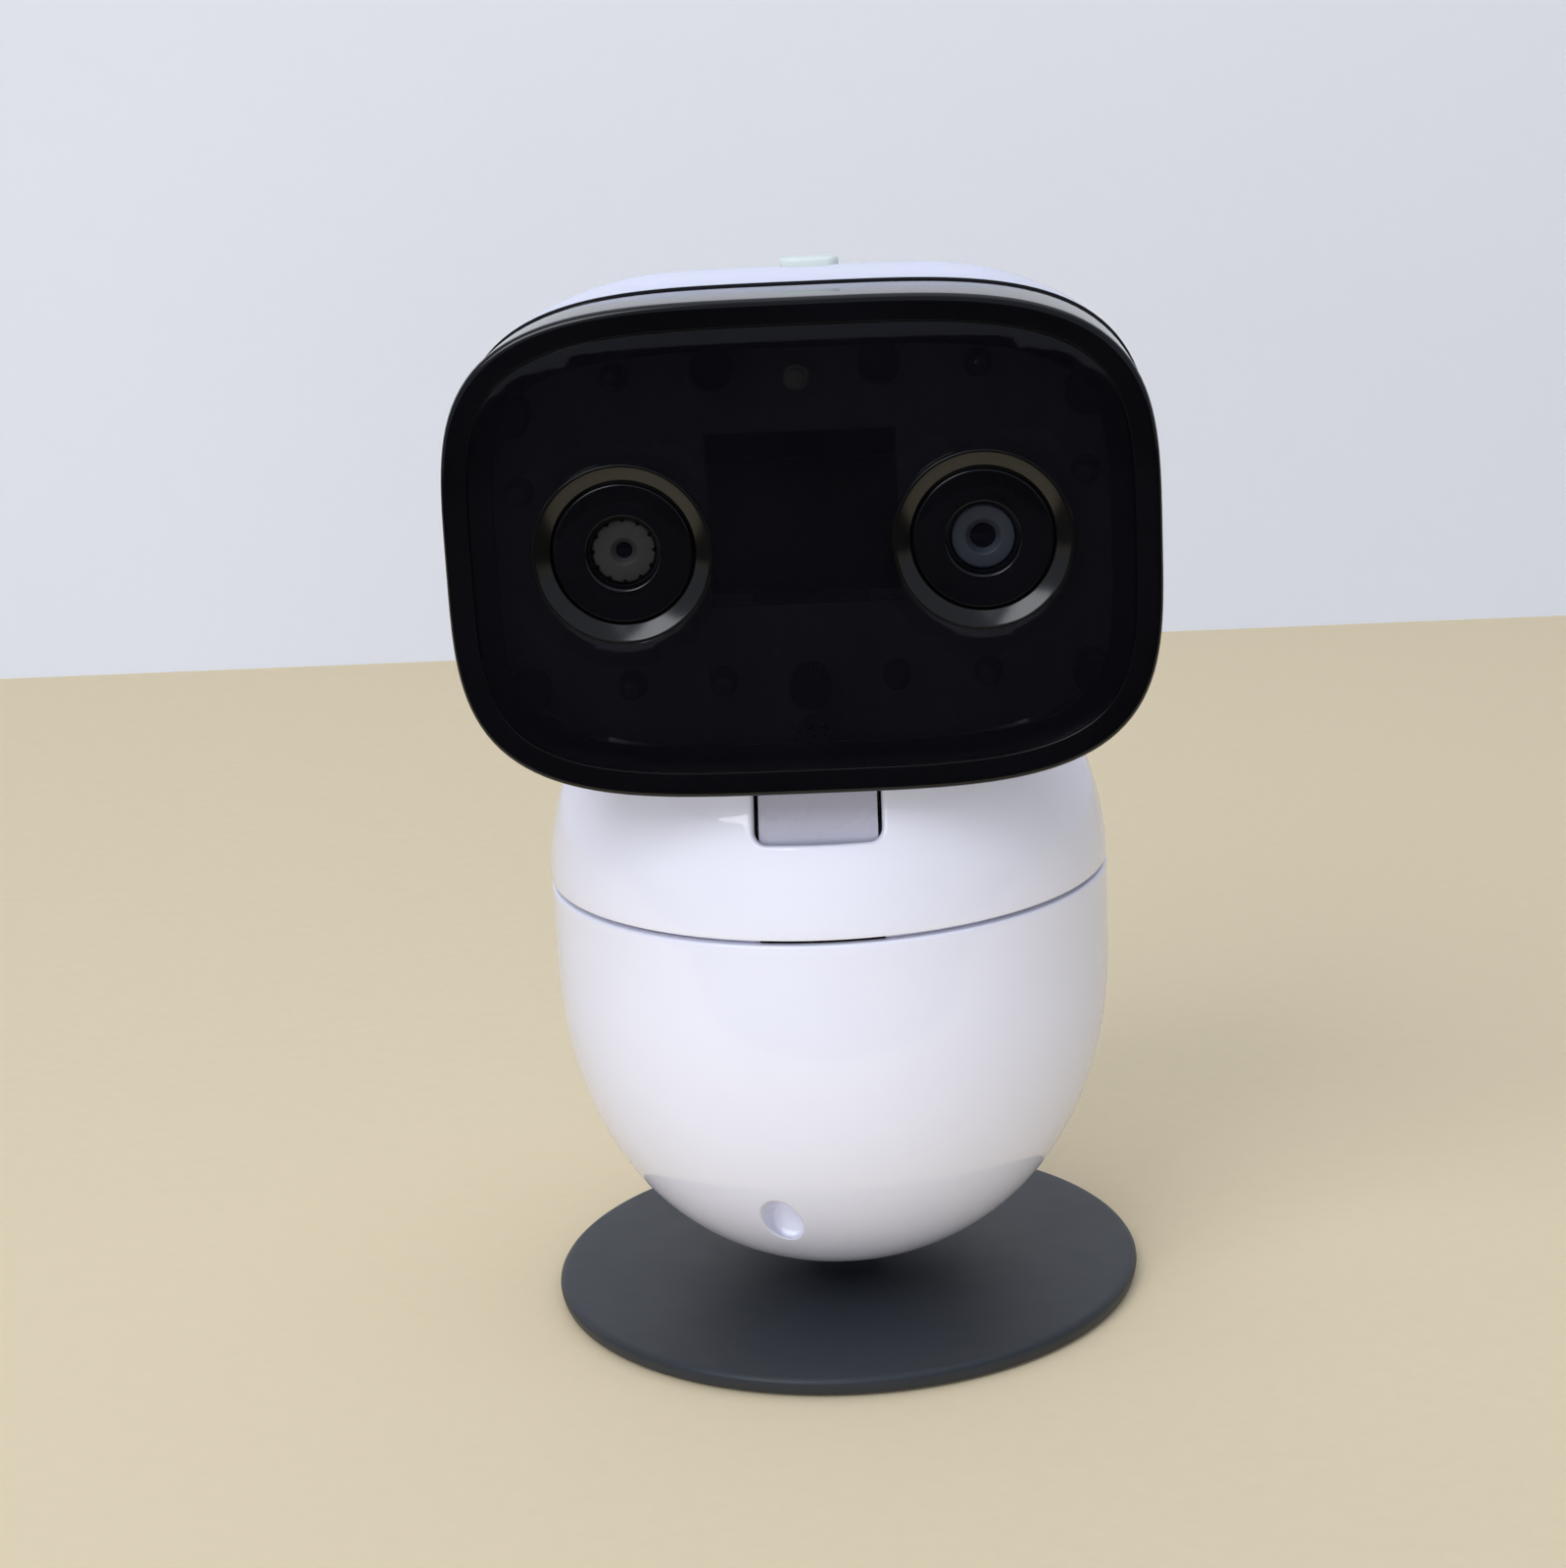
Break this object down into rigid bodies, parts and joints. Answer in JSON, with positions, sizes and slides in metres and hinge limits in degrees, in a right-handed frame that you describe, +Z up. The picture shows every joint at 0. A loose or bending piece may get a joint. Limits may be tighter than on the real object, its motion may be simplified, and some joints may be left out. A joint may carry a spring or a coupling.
{
  "type": "baby monitor camera",
  "caption": "Pan-and-tilt nursery camera: wide black face with two round lens eyes on a white egg-shaped body that stands on a dark disc.",
  "frame": {"origin": "centre of the stand disc on the table, under the turning axis", "axes": "+Z up along the turning axis, -Y the way the face looks, +X to the right of someone facing the camera's face"},
  "size_m": [0.0896, 0.0836, 0.1478],
  "materials": {
    "charcoal_plastic": "matte, fine grain",
    "foot_rubber": "matte",
    "steel": "satin",
    "white_gloss": "gloss",
    "nylon": "matte",
    "circuit_board": "satin",
    "black_board": "satin",
    "dark_plastic": "satin",
    "barrel_grey": "satin",
    "black_gloss": "gloss",
    "dark_window": "gloss",
    "lens_glass": "polished",
    "led_resin": "polished",
    "button_white": "satin"
  },
  "bodies": {
    "base": {"base_disc": "charcoal_plastic", "foot_ring": "foot_rubber", "base_weight": "steel"},
    "stem": {"stand_stem": "steel", "stem_washer": "steel", "stem_screw": "steel"},
    "body": {"lower_shell": "white_gloss", "stem_cradle": "nylon", "cradle_cap": "nylon", "cradle_screws": "steel", "main_board": "circuit_board", "board_screws": "steel", "board_chips": "dark_plastic", "dc_jack": "dark_plastic", "speaker": "dark_plastic", "body_deck": "nylon", "deck_screws": "steel", "pan_gear": "nylon", "bearing_washer": "nylon", "spindle_ring": "steel"},
    "dome": {"dome_shell": "white_gloss", "turret_frame": "nylon", "dome_screws": "steel", "tilt_axle": "steel", "pan_motor": "steel", "tilt_motor": "steel"},
    "pan_drive": {"pan_pinion": "nylon"},
    "tilt_drive": {"tilt_pinion": "nylon"},
    "head": {"neck_drum": "white_gloss", "tilt_gear": "nylon", "head_bezel": "black_gloss", "face_window": "dark_window", "eye_ring_left": "black_gloss", "eye_ring_right": "black_gloss", "eye_disc_left": "black_gloss", "eye_disc_right": "black_gloss", "lens_barrel_left": "dark_plastic", "lens_barrel_right": "barrel_grey", "lens_glass_left": "lens_glass", "lens_glass_right": "lens_glass", "sensor_board": "circuit_board", "lens_holders": "dark_plastic", "led_board": "black_board", "ir_leds": "led_resin", "window_posts": "dark_plastic", "light_sensor": "led_resin", "microphone": "steel", "head_board": "circuit_board", "head_chips": "dark_plastic", "button_switch": "dark_plastic", "head_back_shell": "white_gloss", "head_screws": "steel"},
    "button": {"top_button": "button_white"}
  },
  "joints": [
    {"name": "stand_swivel", "type": "hinge", "parent": "base", "child": "stem", "pos_m": [0, 0, 0.0035], "axis": [0, 0, 1], "continuous": true},
    {"name": "stand_lean", "type": "hinge", "parent": "stem", "child": "body", "pos_m": [0, 0, 0.014], "axis": [0.9677, -0.2521, 0], "range_deg": [-8, 8]},
    {"name": "pan", "type": "hinge", "parent": "body", "child": "dome", "pos_m": [0, 0, 0.048], "axis": [0, 0, 1], "range_deg": [-160, 160]},
    {"name": "pan_pinion_spin", "type": "hinge", "parent": "dome", "child": "pan_drive", "pos_m": [-0.0129, 0.0129, 0.044], "axis": [0, 0, 1], "continuous": true},
    {"name": "tilt", "type": "hinge", "parent": "dome", "child": "head", "pos_m": [0, 0, 0.0625], "axis": [1, 0, 0], "range_deg": [-16, 15]},
    {"name": "tilt_pinion_spin", "type": "hinge", "parent": "dome", "child": "tilt_drive", "pos_m": [0.0045, 0.01715, 0.06874], "axis": [1, 0, 0], "continuous": true},
    {"name": "button_press", "type": "slide", "parent": "head", "child": "button", "axis": [0, 0, -1], "range_m": [0, 0.0006], "stiffness_N_per_m": 800}
  ],
  "couplings": [
    {"joint": "pan_pinion_spin", "follows": "pan", "ratio": 3.3333},
    {"joint": "tilt_pinion_spin", "follows": "tilt", "ratio": -3.3333}
  ]
}
